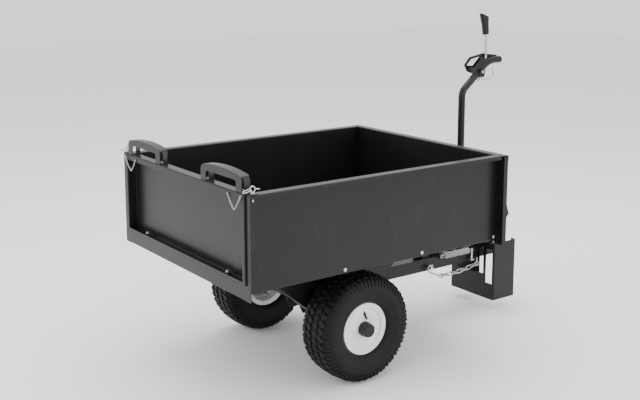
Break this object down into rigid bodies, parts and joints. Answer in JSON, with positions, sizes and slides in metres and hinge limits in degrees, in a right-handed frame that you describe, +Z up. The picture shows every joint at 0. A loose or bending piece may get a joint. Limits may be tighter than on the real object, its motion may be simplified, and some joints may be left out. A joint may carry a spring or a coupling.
{
  "type": "tow-behind tipping cart",
  "caption": "Steel utility cart towed behind a garden tractor: a tipping bed with a lift-out tailgate on an axle, a drawbar with a front stand and hitch, and a release lever on a mast.",
  "frame": {"origin": "middle of the overall length and width, on the ground under the tyres", "axes": "+X forward to the hitch, +Y to the cart's left, +Z up"},
  "size_m": [1.5766, 0.877, 1.2295],
  "materials": {
    "black_powder_coat": "satin black powder coat",
    "zinc_steel": "bright zinc plate",
    "axle_steel": "turned bare steel",
    "tyre_rubber": "matt tyre rubber",
    "white_rim_paint": "gloss white paint",
    "black_rubber": "matt black rubber",
    "black_plastic": "fine textured black plastic",
    "nylon_bush": "natural nylon"
  },
  "bodies": {
    "drawbar_frame": {"drawbar": "black_powder_coat", "yoke_plates": "black_powder_coat", "yoke_bushes": "nylon_bush", "stand_channel": "black_powder_coat", "stand_gussets": "black_powder_coat", "hitch_cheeks": "black_powder_coat", "hitch_plates": "black_powder_coat", "hitch_bridge": "black_powder_coat", "frame_bolts": "zinc_steel", "mast": "black_powder_coat", "mast_plug": "black_plastic", "mast_foot": "black_powder_coat", "guard_plate": "black_powder_coat", "lever_bracket": "black_powder_coat", "lever_bolt": "zinc_steel", "release_link": "zinc_steel", "rest_post": "black_powder_coat", "rest_pad": "black_rubber", "latch_bracket": "black_powder_coat", "latch_spring": "zinc_steel", "spring_anchor": "zinc_steel", "chain_eyes": "zinc_steel", "chain_hook": "zinc_steel", "safety_chain": "zinc_steel"},
    "release_lever": {"lever_rod": "zinc_steel", "lever_grip": "black_plastic"},
    "release_latch": {"latch_hook": "black_powder_coat"},
    "bed": {"floor_pan": "black_powder_coat", "rear_sill": "black_powder_coat", "side_panel_left": "black_powder_coat", "side_panel_right": "black_powder_coat", "front_panel": "black_powder_coat", "axle_bracket_left": "black_powder_coat", "axle_bracket_right": "black_powder_coat", "axle": "axle_steel", "axle_retainers": "zinc_steel", "panel_bolts": "zinc_steel", "panel_nuts": "zinc_steel", "bed_striker": "black_powder_coat", "floor_ribs": "black_powder_coat"},
    "tailgate": {"tailgate_panel": "black_powder_coat", "gate_handle_left": "black_plastic", "gate_handle_right": "black_plastic", "gate_screws": "zinc_steel", "gate_studs": "zinc_steel", "lanyard_left": "zinc_steel", "lanyard_right": "zinc_steel"},
    "pin_left": {"pin_left": "zinc_steel"},
    "pin_right": {"pin_right": "zinc_steel"},
    "wheel_left": {"tyre_left": "tyre_rubber", "rim_left": "white_rim_paint", "hub_bushes_left": "nylon_bush", "valve_stem_left": "black_rubber", "dust_cap_left": "black_plastic"},
    "wheel_right": {"tyre_right": "tyre_rubber", "rim_right": "white_rim_paint", "hub_bushes_right": "nylon_bush", "valve_stem_right": "black_rubber", "dust_cap_right": "black_plastic"}
  },
  "joints": [
    {"name": "bed_tilt", "type": "hinge", "parent": "drawbar_frame", "child": "bed", "pos_m": [-0.26667, 0, 0.1905], "axis": [0, -1, 0], "range_deg": [0, 42]},
    {"name": "gate_lift", "type": "slide", "parent": "bed", "child": "tailgate", "axis": [0, 0, 1], "range_m": [0, 0.32]},
    {"name": "pin_left_pull", "type": "slide", "parent": "tailgate", "child": "pin_left", "axis": [0, 0, 1], "range_m": [0, 0.05]},
    {"name": "pin_right_pull", "type": "slide", "parent": "tailgate", "child": "pin_right", "axis": [0, 0, 1], "range_m": [0, 0.05]},
    {"name": "wheel_left_spin", "type": "hinge", "parent": "bed", "child": "wheel_left", "pos_m": [-0.26667, 0.312, 0.1905], "axis": [0, 1, 0], "continuous": true},
    {"name": "wheel_right_spin", "type": "hinge", "parent": "bed", "child": "wheel_right", "pos_m": [-0.26667, -0.312, 0.1905], "axis": [0, 1, 0], "continuous": true},
    {"name": "lever_pull", "type": "hinge", "parent": "drawbar_frame", "child": "release_lever", "pos_m": [0.61433, 0, 0.99297], "axis": [0, -1, 0], "range_deg": [0, 20], "stiffness_Nm_per_rad": 2},
    {"name": "latch_turn", "type": "hinge", "parent": "drawbar_frame", "child": "release_latch", "pos_m": [0.37633, 0, 0.316], "axis": [0, 1, 0], "range_deg": [0, 16]}
  ],
  "couplings": [
    {"joint": "latch_turn", "follows": "lever_pull", "ratio": 0.8}
  ]
}
